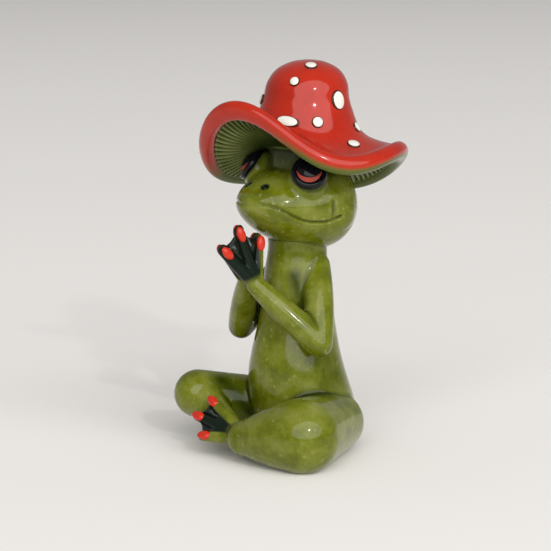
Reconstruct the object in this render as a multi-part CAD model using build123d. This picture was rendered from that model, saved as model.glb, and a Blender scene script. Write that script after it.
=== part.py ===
"""Glazed frog figurine: it sits cross-legged, palms together, under a floppy mushroom hat.

Millimetres, +Z up.  The frog faces -Y, so its left side is +X.  The origin lies on the
surface it stands on, under the axis of its body.  Every piece is a separate casting or inlay
that seats on its neighbours: pegs in sockets, balls in cups, and cut faces laid face to face.
"""

import math
import os

from build123d import *

# Torso casting: a pear-shaped body with a flat foot and a round neck
TORSO_HEIGHT = 67.5
TORSO_WIDTH = 34.0
TORSO_DEPTH = 32.6
TORSO_SWAY = 3.0
# height, width and depth of each level, and how far it sways forward
TORSO_LEVEL_SHARES = (
    (0.00, 0.90, 0.88, -0.3),
    (0.094, 1.00, 0.98, -0.3),
    (0.203, 1.00, 1.00, 0.0),
    (0.328, 0.93, 0.96, 0.7),
    (0.469, 0.81, 0.85, 1.0),
    (0.688, 0.66, 0.68, 0.9),
    (0.844, 0.57, 0.62, 0.95),
    (1.00, 0.53, 0.58, 0.95),
)

# Head casting: broad mouth, round jowls, flat snout
HEAD_LENGTH = 41.0
HEAD_WIDTH = 34.0
HEAD_HEIGHT = 28.6
SNOUT_FORWARD = 25.0
HEAD_SINK = 4.5
# place along the head from the snout, width, height, and rise above the jowls' middle
HEAD_SECTION_SHARES = (
    (0.025, 0.20, 0.17, 0.055),
    (0.09, 0.44, 0.37, 0.050),
    (0.22, 0.69, 0.62, 0.030),
    (0.40, 0.88, 0.85, 0.010),
    (0.59, 1.00, 1.00, 0.000),
    (0.75, 0.97, 0.99, 0.000),
    (0.88, 0.74, 0.80, 0.010),
    (0.965, 0.40, 0.45, 0.020),
)
HEAD_TIP_RISE_SHARE = 0.055

# Mouth groove along both cheeks, and the nostrils
MOUTH_DEPTH = 1.0
MOUTH_GAP = 0.9
# place along the head from the snout, and rise above the jowls' middle as a share of its height
MOUTH_LINE_SHARES = ((-0.03, 0.04), (0.06, 0.085), (0.27, -0.065), (0.47, -0.125), (0.62, -0.06))
NOSTRIL_RADIUS = 1.0
NOSTRIL_DEPTH = 1.6
NOSTRIL_OUT = 3.7
NOSTRIL_FORWARD = 19.3
NOSTRIL_RISE = 7.2
NOSTRIL_TURN = 30.0
NOSTRIL_LIFT = 45.0

# Jowls: a bulge behind each corner of the mouth, with a crease in front of it
JOWL_RADIUS = 6.8
JOWL_OUT = 11.0
JOWL_BACK = 2.4
JOWL_DROP = 1.6
CREASE_RADIUS = 0.8
CREASE_OUT = 16.6
CREASE_FORWARD = 2.6
CREASE_LENGTH = 6.5

# Eyes: a ball in a cup, a raised pupil and a dark rim
EYE_RADIUS = 5.0
EYE_OUT = 11.7
EYE_FORWARD = 8.5
EYE_RISE = 10.5
EYE_TURN = 48.0
EYE_LIFT = 35.0
EYE_CUP_WALL = 0.9
EYE_RIM_RADIUS = 0.9
EYE_RIM_SHARE = 0.90
PUPIL_RADIUS = 2.7
PUPIL_PROUD = 0.35

# Pegs and sockets that carry one casting on another
NECK_PEG_RADIUS = 4.0
NECK_PEG_LENGTH = 7.0
HAT_POST_RADIUS = 11.0
HAT_PEG_RADIUS = 4.0
HAT_PEG_LENGTH = 6.0
LIMB_PEG_RADIUS = 1.8
GLUE_GAP = 0.15
OVERRUN = 1.0
SLIVER_SHARE = 0.1

# Hat: crown and wavy brim with a rolled lip in one casting, raised spots
HAT_RADIUS = 32.5
CROWN_HEIGHT = 29.6
HAT_RISE = 29.2
CROWN_LEAN = 2.0
BRIM_TILT = 8.9
BRIM_ROLL = 6.2
BRIM_SADDLE = 4.0
BRIM_TWIST = -2.9
BRIM_RIPPLE = 3.4
BRIM_CURL = 0.8
BRIM_DROOP = 2.7
DROOP_TURN = 137.0
BRIM_PINCH = 3.7
PINCH_TURN = 32.0
NEARNESS_POWER = 8
BRIM_THICKNESS = 5.6
RING_POINTS = 24
# upper side, from the crown down to the lip: radius, height as a share of the crown, brim wave
CROWN_RING_SHARES = (
    (0.167, 0.975, 0.00),
    (0.298, 0.900, 0.00),
    (0.382, 0.765, 0.00),
    (0.413, 0.590, 0.02),
    (0.453, 0.460, 0.06),
    (0.515, 0.300, 0.18),
    (0.593, 0.205, 0.36),
    (0.70, 0.140, 0.60),
    (0.80, 0.100, 0.78),
    (0.86, 0.088, 0.87),
)
# lip and recess: radius, height as a share of the brim's thickness, brim wave
LIP_RING_SHARES = (
    (0.92, 0.54, 0.96),
    (0.975, 0.36, 1.02),
    (1.00, 0.00, 1.05),
    (0.97, -0.36, 1.02),
    (0.92, -0.50, 0.97),
    (0.865, -0.36, 0.93),
    (0.850, -0.08, 0.92),
    (0.70, 0.14, 0.64),
    (0.52, 0.40, 0.36),
    (0.36, 0.50, 0.12),
)
HAT_SEAT_RADIUS = 11.2
HAT_SEAT_RISE_SHARE = 0.55

# Raised spots of the hat
SPOT_RADIUS = 2.0
SPOT_PROUD = 0.5
SPOT_SINK = 0.8
# azimuth in degrees from the front towards its left, then shares: radius, spread around and length
SPOT_PLACE_SHARES = (
    (54.0, 0.215, 1.0, 1.0),
    (28.0, 0.365, 0.8, 0.8),
    (93.0, 0.410, 1.3, 1.6),
    (61.0, 0.475, 0.92, 0.92),
    (27.0, 0.490, 1.9, 0.9),
    (92.0, 0.655, 1.05, 1.05),
    (-42.0, 0.415, 0.9, 0.9),
    (118.0, 0.515, 0.9, 0.9),
    (-80.0, 0.62, 1.2, 1.2),
    (-110.0, 0.35, 1.1, 1.4),
    (175.0, 0.40, 1.2, 1.2),
    (-155.0, 0.60, 1.0, 1.0),
    (150.0, 0.68, 1.6, 1.1),
)

# Arms: shoulder, elbow and wrist of the left one; the right one mirrors it
SHOULDER_OUT = 6.6
SHOULDER_FORWARD = 0.5
SHOULDER_RISE = 58.5
ELBOW_OUT = 18.0
ELBOW_FORWARD = 10.0
ELBOW_RISE = 37.0
WRIST_OUT = 3.4
WRIST_FORWARD = 22.5
RIGHT_WRIST_FORWARD = 20.5
WRIST_RISE = 54.5
SHOULDER_RADIUS = 4.4
UPPER_ARM_RADIUS = 5.0
ELBOW_RADIUS = 4.2
FOREARM_RADIUS = 4.1
WRIST_RADIUS = 3.0

# Hands: three webbed fingers each, laid palm to palm
HAND_LENGTH = 18.2
HAND_LEAN = 17.0
FINGER_FAN = 27.0
FINGER_LENGTH_SHARES = (0.78, 1.0, 0.92)
FINGER_ROOT_RADIUS = 2.1
FINGER_TIP_RADIUS = 1.6
TIP_INSET_SHARE = 0.35
PALM_GAP = 0.1

# Legs: the left one lies flat in front, the right knee is raised behind its foot
HIP_OUT = 11.5
HIP_FORWARD = -2.5
HIP_RISE = 9.0
KNEE_OUT = 21.8
KNEE_FORWARD = 20.4
KNEE_RISE = 10.6
ANKLE_OUT = 4.6
ANKLE_FORWARD = 28.4
ANKLE_RISE = 8.0
RIGHT_KNEE_OUT = 25.0
RIGHT_KNEE_FORWARD = 22.3
RIGHT_KNEE_RISE = 15.6
RIGHT_ANKLE_OUT = 3.0
RIGHT_ANKLE_FORWARD = 24.0
RIGHT_ANKLE_RISE = 5.4
HIP_RADIUS = 9.6
THIGH_RADIUS = 10.6
KNEE_RADIUS = 11.6
SHIN_RADIUS = 9.4
RIGHT_THIGH_RADIUS = 8.6
RIGHT_KNEE_RADIUS = 7.7
RIGHT_SHIN_RADIUS = 4.9
ANKLE_RADIUS = 5.6
RIGHT_ANKLE_RADIUS = 4.4

# Left foot: three webbed toes over the right shin; the right foot is tucked out of sight under the left leg
FOOT_LENGTH = 19.8
TOE_FAN = 20.0
TOE_LENGTH_SHARES = (0.95, 1.0, 0.76)
TOE_ROOT_RADIUS = 2.8
TOE_TIP_RADIUS = 1.5
FOOT_HEADING = (-0.971, -0.145, 0.188)
FOOT_FACING = (0.23, -0.79, 0.57)

# Webs and the pads on the tips of fingers and toes
WEB_THICKNESS = 1.5
WEB_RAISE = 0.3
WEB_ROOT_SHARE = 0.25
WEB_TIP_SHARE = 0.96
WEB_NOTCH_SHARE = 0.92
PAD_LENGTH = 5.0
PAD_WIDTH = 2.9
PAD_PROUD = 0.55

NECK_RISE = TORSO_HEIGHT - HEAD_SINK
JOWL_RISE = NECK_RISE + HEAD_HEIGHT / 2
HAT_LEVEL = NECK_RISE + HAT_RISE
LEFT, RIGHT = 1, -1


def place(side: int, out: float, forward: float, rise: float) -> Vector:
    """A point on one side of the frog, from its axis, its front and the floor."""
    return Vector(side * out, -forward, rise)


def ball(centre: Vector, radius: float) -> Part:
    """A ball about a point."""
    return Pos(*centre) * Sphere(radius)


def peg(start: Vector, end: Vector, radius: float) -> Part:
    """A round peg from one point to another."""
    along = end - start
    return extrude(Plane(start, z_dir=along) * Circle(radius), along.length)


def limb(start: Vector, end: Vector, start_radius: float, middle_radius: float, end_radius: float) -> Part:
    """A swelling limb between two joints, with a ball at each of them."""
    along = end - start
    sections = [
        Plane(start + along * share, z_dir=along) * Circle(radius)
        for share, radius in ((0, start_radius), (0.5, middle_radius), (1, end_radius))
    ]
    return loft(sections) + ball(start, start_radius) + ball(end, end_radius)


def above_floor(shape: Part) -> Part:
    """What of a shape lies above the floor."""
    floor = Pos(0, 0, -TORSO_HEIGHT / 2) * Box(4 * TORSO_HEIGHT, 4 * TORSO_HEIGHT, TORSO_HEIGHT)
    return shape - floor


def whole_bits(shape: Part) -> Part:
    """What a cut leaves of a shape, without its slivers."""
    bits = shape.solids()
    largest = max(bit.volume for bit in bits)
    return Part(children=[bit for bit in bits if bit.volume > SLIVER_SHARE * largest])


def mirrored(shape: Part) -> Part:
    """The same shape on the frog's other side."""
    return mirror(shape, about=Plane.YZ)


# Torso
def torso_body() -> Part:
    """The body's outer form, through its levels."""
    sections = []
    for height, width, depth, sway in TORSO_LEVEL_SHARES:
        level = Plane((0, -sway * TORSO_SWAY, height * TORSO_HEIGHT))
        sections.append(level * Ellipse(width * TORSO_WIDTH / 2, depth * TORSO_DEPTH / 2))
    return loft(sections)


def neck_peg(gap: float) -> Part:
    """The peg under the head that stands in the torso's neck."""
    sway = TORSO_LEVEL_SHARES[-1][3] * TORSO_SWAY
    foot = Vector(0, -sway, TORSO_HEIGHT - NECK_PEG_LENGTH - gap)
    return peg(foot, Vector(0, -sway, JOWL_RISE), NECK_PEG_RADIUS + gap)


def limb_peg(joint: Vector, next_joint: Vector, gap: float) -> Part:
    """The peg along a limb's axis that ends at its joint inside the body."""
    along = (joint - next_joint).normalized()
    return peg((joint + next_joint) / 2, joint + along * gap, LIMB_PEG_RADIUS + gap)


# Head
def head_section(share: float, width: float, height: float, rise: float, skin: float) -> Sketch:
    """One cross-section of the head, drawn in by the depth of a skin."""
    centre = (0, HEAD_LENGTH * share - SNOUT_FORWARD, JOWL_RISE + rise * HEAD_HEIGHT)
    upright = Plane(centre, x_dir=(1, 0, 0), z_dir=(0, -1, 0))
    return upright * Ellipse(width * HEAD_WIDTH / 2 - skin, height * HEAD_HEIGHT / 2 - skin)


def head_form(skin: float) -> Part:
    """The head from snout to nape; a skin above zero leaves the core inside that depth."""
    sections = [head_section(*shares, skin) for shares in HEAD_SECTION_SHARES]
    tip_rise = JOWL_RISE + HEAD_TIP_RISE_SHARE * HEAD_HEIGHT
    snout = Vertex(0, skin - SNOUT_FORWARD, tip_rise)
    nape = Vertex(0, HEAD_LENGTH - SNOUT_FORWARD - skin, JOWL_RISE)
    return loft([snout, *sections, nape])


def mouth_cutter() -> Part:
    """The mouth line as a thin curved slab across the head, kept to the depth of the groove."""
    line = [
        (HEAD_LENGTH * share - SNOUT_FORWARD, JOWL_RISE + rise * HEAD_HEIGHT)
        for share, rise in MOUTH_LINE_SHARES
    ]
    upper = Spline(*[(y, z + MOUTH_GAP / 2) for y, z in line])
    lower = Spline(*[(y, z - MOUTH_GAP / 2) for y, z in line])
    ends = Line(upper @ 0, lower @ 0) + Line(upper @ 1, lower @ 1)
    outline = make_face(upper + lower + ends)
    slab = extrude(Plane.YZ * outline, HEAD_WIDTH, both=True)
    return slab - head_form(MOUTH_DEPTH)


def outlook(side: int, turn_degrees: float, lift_degrees: float) -> Vector:
    """The way out of the head: forward, turned outward and lifted."""
    turn, lift = math.radians(turn_degrees), math.radians(lift_degrees)
    return Vector(side * math.sin(turn) * math.cos(lift), -math.cos(turn) * math.cos(lift), math.sin(lift))


def eye_axis(side: int) -> Vector:
    """The way an eye looks."""
    return outlook(side, EYE_TURN, EYE_LIFT)


def eye_centre(side: int) -> Vector:
    """The middle of an eyeball."""
    return place(side, EYE_OUT, EYE_FORWARD, JOWL_RISE + EYE_RISE)


def rim_centre(side: int) -> Vector:
    """The middle of the circle where the rim lies on the eyeball."""
    reach = EYE_RADIUS * math.sqrt(1 - EYE_RIM_SHARE**2)
    return eye_centre(side) + eye_axis(side) * reach


def eye_mound(side: int) -> Part:
    """The bulge of the head behind an eye, cut off square at the rim."""
    start = rim_centre(side)
    front = peg(start, start + eye_axis(side) * (2 * EYE_RADIUS), 2 * EYE_RADIUS)
    return ball(eye_centre(side), EYE_RADIUS + EYE_CUP_WALL) - front


def eye_rim(side: int) -> Part:
    """The dark rim that lies round an eye, on its ball."""
    seat = Plane(rim_centre(side), z_dir=eye_axis(side))
    return seat * Torus(EYE_RADIUS * EYE_RIM_SHARE, EYE_RIM_RADIUS)


def pupil(side: int) -> Part:
    """The raised pupil: a low dome on the front of the eyeball."""
    axis = eye_axis(side)
    dome = ball(eye_centre(side), EYE_RADIUS + PUPIL_PROUD)
    column = peg(eye_centre(side), eye_centre(side) + axis * (2 * EYE_RADIUS), PUPIL_RADIUS)
    return (dome & column) - ball(eye_centre(side), EYE_RADIUS)


def nostril(side: int) -> Part:
    """A round nostril, drilled square into the side of the snout."""
    start = place(side, NOSTRIL_OUT, NOSTRIL_FORWARD, JOWL_RISE + NOSTRIL_RISE)
    outward = outlook(side, NOSTRIL_TURN, NOSTRIL_LIFT)
    return peg(start + outward * (2 * OVERRUN), start - outward * NOSTRIL_DEPTH, NOSTRIL_RADIUS)


def cheek_crease(side: int) -> Part:
    """The upright crease at a corner of the mouth, in front of the jowl."""
    low = place(side, CREASE_OUT, CREASE_FORWARD, JOWL_RISE - CREASE_LENGTH / 2)
    return peg(low, low + Vector(0, 0, CREASE_LENGTH), CREASE_RADIUS)


# Hat
def nearness(azimuth: float, degrees: float) -> float:
    """How near an azimuth is to a place on the brim, from 0 on the far side to 1."""
    return ((1 + math.cos(azimuth - math.radians(degrees))) / 2) ** NEARNESS_POWER


def brim_wave(azimuth: float) -> float:
    """How far the lip rises or dips at an azimuth from the front towards the frog's left."""
    return (
        BRIM_TILT * math.cos(azimuth)
        + BRIM_ROLL * math.sin(azimuth)
        + BRIM_SADDLE * math.cos(2 * azimuth)
        + BRIM_TWIST * math.sin(2 * azimuth)
        + BRIM_RIPPLE * math.cos(3 * azimuth)
        + BRIM_CURL * math.sin(3 * azimuth)
        - BRIM_DROOP * nearness(azimuth, DROOP_TURN)
    )


def hat_point(radius: float, rise: float, wave: float, azimuth: float) -> Vector:
    """A point of the hat: its radius, its rise above the brim's level and its share of the wave."""
    lean = CROWN_LEAN * rise / CROWN_HEIGHT
    reach = radius - wave * BRIM_PINCH * nearness(azimuth, PINCH_TURN)
    return Vector(
        reach * math.sin(azimuth),
        lean - reach * math.cos(azimuth),
        HAT_LEVEL + rise + wave * brim_wave(azimuth),
    )


def hat_ring(radius: float, rise: float, wave: float) -> Wire:
    """One closed ring of the hat's surface."""
    turns = [2 * math.pi * k / RING_POINTS for k in range(RING_POINTS)]
    return Wire([Edge.make_spline([hat_point(radius, rise, wave, turn) for turn in turns], periodic=True)])


def upper_rings() -> list:
    """The shell's upper rings as radius, rise and wave, from the crown down to the lip's edge."""
    crown = [(r * HAT_RADIUS, h * CROWN_HEIGHT, w) for r, h, w in CROWN_RING_SHARES]
    lip = [(r * HAT_RADIUS, h * BRIM_THICKNESS, w) for r, h, w in LIP_RING_SHARES]
    return crown + lip


def hat_shell() -> Part:
    """Crown, brim and rolled lip in one skin, closed under the crown by a flat seat."""
    apex = hat_point(0, CROWN_HEIGHT, 0, 0)
    rings = [hat_ring(*ring) for ring in upper_rings()]
    seat_rise = HAT_SEAT_RISE_SHARE * BRIM_THICKNESS
    seat = hat_ring(HAT_SEAT_RADIUS, seat_rise, 0)
    return Part() + Solid.make_loft([Vertex(*apex), *rings, seat], ruled=True)


def hat_seat() -> Vector:
    """The middle of the flat seat inside the hat."""
    return hat_point(0, HAT_SEAT_RISE_SHARE * BRIM_THICKNESS, 0, 0)


def shell_place(azimuth: float, radius_share: float) -> tuple:
    """A point on the shell's upper side at a radius, the way around the hat and the way up there."""
    rings = upper_rings()
    radius = radius_share * HAT_RADIUS
    outer = next(k for k, ring in enumerate(rings) if ring[0] >= radius)
    inner_ring = rings[outer - 1] if outer else (0, CROWN_HEIGHT, 0)
    blend = (radius - inner_ring[0]) / (rings[outer][0] - inner_ring[0])
    ring = [a + (b - a) * blend for a, b in zip(inner_ring, rings[outer])]
    point = hat_point(*ring, azimuth)
    step = math.radians(1)
    around = hat_point(*ring, azimuth + step) - hat_point(*ring, azimuth - step)
    outward = hat_point(*rings[outer], azimuth) - hat_point(*inner_ring, azimuth)
    facing = outward.cross(around)
    return point, around, facing if facing.Z > 0 else -facing


def spot_seat(degrees: float, radius_share: float) -> Plane:
    """The flat floor of a spot's pocket, sunk square into the shell."""
    point, around, facing = shell_place(math.radians(degrees), radius_share)
    return Plane(point - facing.normalized() * SPOT_SINK, x_dir=around, z_dir=facing)


def spot(degrees: float, radius_share: float, spread: float, length: float) -> Part:
    """A raised oval spot: a low dome that stands on its pocket's floor."""
    height = SPOT_SINK + SPOT_PROUD
    dome = scale(Sphere(1), by=(spread * SPOT_RADIUS, length * SPOT_RADIUS, height))
    span = 4 * max(spread, length) * SPOT_RADIUS
    below = Pos(0, 0, -height) * Box(span, span, 2 * height)
    return spot_seat(degrees, radius_share) * (dome - below)


def spot_pocket(degrees: float, radius_share: float, spread: float, length: float) -> Part:
    """The pocket that a spot stands in."""
    mouth = Ellipse(spread * SPOT_RADIUS + GLUE_GAP, length * SPOT_RADIUS + GLUE_GAP)
    return spot_seat(degrees, radius_share) * extrude(mouth, SPOT_SINK + SPOT_PROUD + OVERRUN)


# Hands and feet
def digit_lines(seat: Plane, length: float, fan: float, length_shares: tuple) -> list:
    """The middle line of each digit: root and tip, fanned out in the seat's plane."""
    lines = []
    for k, share in enumerate(length_shares):
        turn = math.radians(fan * (k - 1))
        tip = seat.from_local_coords((length * share * math.cos(turn), length * share * math.sin(turn), 0))
        lines.append((seat.origin, tip))
    return lines


def digits(lines: list, root_radius: float, tip_radius: float) -> Part:
    """The fingers or toes as one casting, joined at the root."""
    joined = Part()
    for root, tip in lines:
        joined += limb(root, tip, root_radius, (root_radius + tip_radius) / 2, tip_radius)
    return joined


def web(seat: Plane, lines: list, solid: Part) -> Part:
    """The web between digits: a thin fan with a notch between each pair of tips."""
    points = []
    for k, (root, tip) in enumerate(lines):
        points.append(root + (tip - root) * WEB_TIP_SHARE)
        if k + 1 < len(lines):
            between = (tip + lines[k + 1][1]) / 2
            points.append(root + (between - root) * WEB_NOTCH_SHARE)
    first, last = lines[0], lines[-1]
    points.append(last[0] + (last[1] - last[0]) * WEB_ROOT_SHARE)
    points.append(first[0] + (first[1] - first[0]) * WEB_ROOT_SHARE)
    outline = make_face(Wire.make_polygon(points, close=True))
    sheet = extrude(outline, WEB_THICKNESS / 2, dir=tuple(seat.z_dir), both=True)
    return Pos(*(seat.z_dir * WEB_RAISE)) * sheet - solid


def pads(seat: Plane, lines: list, solid: Part, tip_radius: float) -> Part:
    """The pads on the backs of the tips: low ovals seated on each digit."""
    made = []
    for root, tip in lines:
        along = (tip - root).normalized()
        centre = tip - along * (PAD_LENGTH / 4) + seat.z_dir * (tip_radius - PAD_PROUD / 2)
        oval = scale(Sphere(1), by=(PAD_LENGTH / 2, PAD_WIDTH / 2, 2 * PAD_PROUD))
        made.append(Plane(centre, x_dir=along, z_dir=seat.z_dir) * oval - solid)
    return Part(children=[piece for pad in made for piece in pad.solids()])


def hand_seat(wrist: Vector) -> Plane:
    """The plane of the left hand: its back faces outward and its tips lean to the right hand's."""
    lean = math.radians(HAND_LEAN)
    tilt = math.asin((WRIST_OUT - TIP_INSET_SHARE * FINGER_TIP_RADIUS) / HAND_LENGTH)
    heading = Vector(-math.sin(tilt), -math.cos(tilt) * math.sin(lean), math.cos(tilt) * math.cos(lean))
    facing = Vector(math.cos(tilt), -math.sin(tilt) * math.sin(lean), math.sin(tilt) * math.cos(lean))
    return Plane(wrist, x_dir=heading, z_dir=facing)


def arm_pieces(body: Part, shoulder: Vector, elbow: Vector, wrist: Vector) -> dict:
    """An arm, its hand, the web and the pads, as they are on the left."""
    arm = limb(shoulder, elbow, SHOULDER_RADIUS, UPPER_ARM_RADIUS, ELBOW_RADIUS)
    arm += limb(elbow, wrist, ELBOW_RADIUS, FOREARM_RADIUS, WRIST_RADIUS)
    seat = hand_seat(wrist)
    lines = digit_lines(seat, HAND_LENGTH, FINGER_FAN, FINGER_LENGTH_SHARES)
    other_half = Pos(PALM_GAP - HAND_LENGTH, wrist.Y, wrist.Z) * Box(
        2 * HAND_LENGTH, 4 * HAND_LENGTH, 4 * HAND_LENGTH
    )
    hand = digits(lines, FINGER_ROOT_RADIUS, FINGER_TIP_RADIUS) - other_half
    tips = pads(seat, lines, hand, FINGER_TIP_RADIUS)
    return {
        "arm": (arm - body) + limb_peg(shoulder, elbow, 0),
        "hand": hand - arm,
        "hand_web": whole_bits(web(seat, lines, hand) - arm - other_half - tips),
        "finger_pads": tips,
    }


def main() -> None:
    """Builds every piece and writes one file for each."""
    made = {}
    shoulder = place(LEFT, SHOULDER_OUT, SHOULDER_FORWARD, SHOULDER_RISE)
    elbow = place(LEFT, ELBOW_OUT, ELBOW_FORWARD, ELBOW_RISE)
    wrist = place(LEFT, WRIST_OUT, WRIST_FORWARD, WRIST_RISE)
    right_wrist = place(LEFT, WRIST_OUT, RIGHT_WRIST_FORWARD, WRIST_RISE)
    hips = {side: place(side, HIP_OUT, HIP_FORWARD, HIP_RISE) for side in (LEFT, RIGHT)}
    knee = place(LEFT, KNEE_OUT, KNEE_FORWARD, KNEE_RISE)
    ankle = place(LEFT, ANKLE_OUT, ANKLE_FORWARD, ANKLE_RISE)
    right_knee = place(RIGHT, RIGHT_KNEE_OUT, RIGHT_KNEE_FORWARD, RIGHT_KNEE_RISE)
    right_ankle = place(RIGHT, RIGHT_ANKLE_OUT, RIGHT_ANKLE_FORWARD, RIGHT_ANKLE_RISE)
    body = torso_body()

    for name, piece in arm_pieces(body, shoulder, elbow, wrist).items():
        made[f"left_{name}"] = piece
    for name, piece in arm_pieces(body, shoulder, elbow, right_wrist).items():
        made[f"right_{name}"] = mirrored(piece)

    left_leg = limb(hips[LEFT], knee, HIP_RADIUS, THIGH_RADIUS, KNEE_RADIUS)
    left_leg += limb(knee, ankle, KNEE_RADIUS, SHIN_RADIUS, ANKLE_RADIUS)
    left_leg = above_floor(left_leg)
    right_leg = limb(hips[RIGHT], right_knee, HIP_RADIUS, RIGHT_THIGH_RADIUS, RIGHT_KNEE_RADIUS)
    right_leg += limb(right_knee, right_ankle, RIGHT_KNEE_RADIUS, RIGHT_SHIN_RADIUS, RIGHT_ANKLE_RADIUS)
    right_leg = above_floor(right_leg) - left_leg
    made["left_leg"] = (left_leg - body) + limb_peg(hips[LEFT], knee, 0)
    made["right_leg"] = (right_leg - body) + limb_peg(hips[RIGHT], right_knee, 0)

    seat = Plane(ankle, x_dir=FOOT_HEADING, z_dir=FOOT_FACING)
    lines = digit_lines(seat, FOOT_LENGTH, TOE_FAN, TOE_LENGTH_SHARES)
    toes = digits(lines, TOE_ROOT_RADIUS, TOE_TIP_RADIUS)
    tips = pads(seat, lines, toes, TOE_TIP_RADIUS)
    pieces = {"left_foot": toes, "left_foot_web": web(seat, lines, toes) - tips, "left_toe_pads": tips}
    for name, piece in pieces.items():
        made[name] = whole_bits(above_floor(piece) - left_leg - right_leg)

    shoulder_peg = limb_peg(shoulder, elbow, GLUE_GAP)
    sockets = [neck_peg(GLUE_GAP), shoulder_peg, mirrored(shoulder_peg)]
    sockets.append(limb_peg(hips[LEFT], knee, GLUE_GAP))
    sockets.append(limb_peg(hips[RIGHT], right_knee, GLUE_GAP))
    made["torso"] = body
    for socket in sockets:
        made["torso"] -= socket

    seat_point = hat_seat()
    peg_top = seat_point + Vector(0, 0, HAT_PEG_LENGTH)
    head = head_form(0)
    for side in (LEFT, RIGHT):
        head += ball(place(side, JOWL_OUT, -JOWL_BACK, JOWL_RISE - JOWL_DROP), JOWL_RADIUS)
    head = head - mouth_cutter() - nostril(LEFT) - nostril(RIGHT)
    head += peg(Vector(seat_point.X, seat_point.Y, JOWL_RISE), seat_point, HAT_POST_RADIUS)
    for side in (LEFT, RIGHT):
        head -= cheek_crease(side)
        head = head + eye_mound(side) - ball(eye_centre(side), EYE_RADIUS + GLUE_GAP)
    head = head - body + neck_peg(0) + peg(seat_point, peg_top, HAT_PEG_RADIUS)
    made["head"] = head
    made["right_eyeball"] = ball(eye_centre(RIGHT), EYE_RADIUS)
    made["right_eye_rim"] = eye_rim(RIGHT) - made["right_eyeball"] - head
    made["right_pupil"] = pupil(RIGHT)
    for name in ("eyeball", "eye_rim", "pupil"):
        made[f"left_{name}"] = mirrored(made[f"right_{name}"])

    shell = hat_shell()
    shell -= peg(seat_point - Vector(0, 0, OVERRUN), peg_top, HAT_PEG_RADIUS + GLUE_GAP)
    for shares in SPOT_PLACE_SHARES:
        shell -= spot_pocket(*shares)
    made["hat_shell"] = shell
    spots = [solid for shares in SPOT_PLACE_SHARES for solid in spot(*shares).solids()]
    made["hat_spots"] = Part(children=spots)

    os.makedirs("parts", exist_ok=True)
    for name, piece in made.items():
        export_step(piece, f"parts/{name}.step")


main()
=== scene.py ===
"""Looks of a glazed frog figurine: cross-legged, palms together, under a spotted mushroom hat.

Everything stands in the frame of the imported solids: metres, +Z up, the frog facing -Y.
"""

import logging
import math
from collections.abc import Callable
from dataclasses import dataclass, field
from enum import Enum

import bmesh
import bpy
import numpy as np
from mathutils import Matrix, Vector
from mathutils.bvhtree import BVHTree


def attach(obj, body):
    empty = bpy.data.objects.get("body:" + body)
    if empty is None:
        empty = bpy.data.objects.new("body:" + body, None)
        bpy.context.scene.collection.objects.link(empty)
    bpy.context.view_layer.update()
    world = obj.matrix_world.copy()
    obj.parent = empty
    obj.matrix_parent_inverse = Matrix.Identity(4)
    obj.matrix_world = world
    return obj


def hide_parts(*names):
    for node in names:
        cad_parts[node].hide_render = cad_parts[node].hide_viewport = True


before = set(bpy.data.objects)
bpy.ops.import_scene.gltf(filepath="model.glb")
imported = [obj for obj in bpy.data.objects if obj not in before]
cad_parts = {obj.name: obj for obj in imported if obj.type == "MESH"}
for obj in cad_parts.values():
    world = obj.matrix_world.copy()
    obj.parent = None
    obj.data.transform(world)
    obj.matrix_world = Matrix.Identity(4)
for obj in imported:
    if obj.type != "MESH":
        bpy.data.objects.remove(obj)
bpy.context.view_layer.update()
LOG = logging.getLogger("frog")
MM = 0.001
Colour = tuple[float, float, float]
Place = tuple[float, float, float]
Ring = tuple[float, float, float]
Fold = tuple[Place, Place, float, float]
Hollow = tuple[Vector, Vector, float, float]
BLACK: Colour = (0.0, 0.0, 0.0)


def opaque(colour: Colour) -> tuple[float, float, float, float]:
    """The colour with full alpha, as sockets take it."""
    return (*colour, 1.0)


class Side(Enum):
    """The frog's own left and right, as the sign of X."""

    LEFT = 1
    RIGHT = -1

    @property
    def word(self) -> str:
        """The side's name as the nodes spell it."""
        return self.name.lower()


class Wiring:
    """Adds nodes to a shader tree and links them by socket name."""

    def __init__(self, tree: bpy.types.NodeTree) -> None:
        """Keeps the tree that the nodes go into."""
        self.tree = tree

    def node(self, kind: str, **sockets: object) -> bpy.types.Node:
        """Adds a node and fills its sockets.

        Args:
            kind: the node's type name.
            sockets: values or output sockets, by input name with spaces as underscores.

        Returns:
            The new node.
        """
        made = self.tree.nodes.new(kind)
        for name, value in sockets.items():
            self.fill(made.inputs[name.replace("_", " ")], value)
        return made

    def fill(self, socket: bpy.types.NodeSocket, value: object) -> None:
        """Links an output to a socket, or sets the socket's own value."""
        if isinstance(value, bpy.types.NodeSocket):
            self.tree.links.new(value, socket)
        else:
            socket.default_value = value

    def blend(self, factor: object, first: object, second: object) -> bpy.types.NodeSocket:
        """A colour between two, by a factor."""
        made = self.tree.nodes.new("ShaderNodeMix")
        made.data_type = "RGBA"
        for index, value in ((0, factor), (6, first), (7, second)):
            self.fill(made.inputs[index], value)
        return made.outputs[2]

    def maths(self, operation: str, first: object, second: object) -> bpy.types.NodeSocket:
        """The clamped result of one sum."""
        made = self.tree.nodes.new("ShaderNodeMath")
        made.operation = operation
        made.use_clamp = True
        self.fill(made.inputs[0], first)
        self.fill(made.inputs[1], second)
        return made.outputs[0]

    def span(self, value: object, low: float, high: float) -> bpy.types.NodeSocket:
        """A value stretched so that low gives zero and high gives one."""
        made = self.tree.nodes.new("ShaderNodeMapRange")
        made.clamp = True
        self.fill(made.inputs["Value"], value)
        made.inputs["From Min"].default_value = low
        made.inputs["From Max"].default_value = high
        return made.outputs["Result"]


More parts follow.
